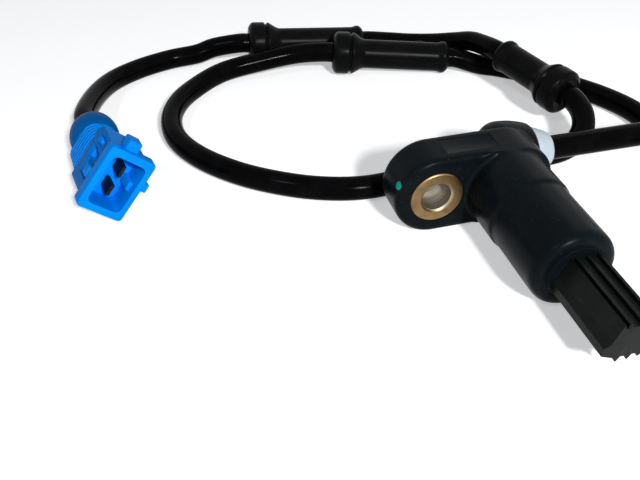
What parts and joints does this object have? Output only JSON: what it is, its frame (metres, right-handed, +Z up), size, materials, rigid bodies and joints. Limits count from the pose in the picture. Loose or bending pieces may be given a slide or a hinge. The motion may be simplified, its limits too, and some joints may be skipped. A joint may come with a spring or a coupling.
{
  "type": "abs wheel speed sensor",
  "caption": "Wheel speed sensor with a moulded bolt-on head, a ribbed nose, and a coiled cable with grommets and a blue plug.",
  "frame": {"origin": "on the floor under the middle of the head, measured without the cable and the plug", "axes": "+Z up, the nose points to -Y, the cable leaves the head to +X"},
  "size_m": [0.195, 0.1468, 0.0191],
  "materials": {
    "black_plastic": "moulded, satin",
    "nose_plastic": "moulded, satin",
    "brass": "turned brass",
    "steel": "turned",
    "bobbin_plastic": "moulded",
    "copper": "enamelled wire",
    "magnet_grey": "sintered",
    "wire_brown": "insulated wire",
    "white_plastic": "moulded",
    "rubber_black": "moulded rubber",
    "cable_black": "smooth jacket",
    "plug_blue": "moulded",
    "tin": "tinned"
  },
  "bodies": {
    "root": {"head_housing": "black_plastic", "mounting_bush": "brass", "probe_carrier": "nose_plastic", "pole_pin": "steel", "coil_bobbin": "bobbin_plastic", "coil_winding": "copper", "magnet": "magnet_grey", "terminal_strip_1": "brass", "conductor_1": "wire_brown", "terminal_strip_2": "brass", "conductor_2": "wire_brown", "cable_collar": "white_plastic", "grommet_1": "rubber_black", "grommet_2": "rubber_black", "grommet_3": "rubber_black", "connector_shroud": "plug_blue", "connector_boot": "plug_blue", "contact_blade_1": "tin", "plug_conductor_1": "wire_brown", "contact_blade_2": "tin", "plug_conductor_2": "wire_brown", "sensor_cable": "cable_black"}
  },
  "joints": []
}
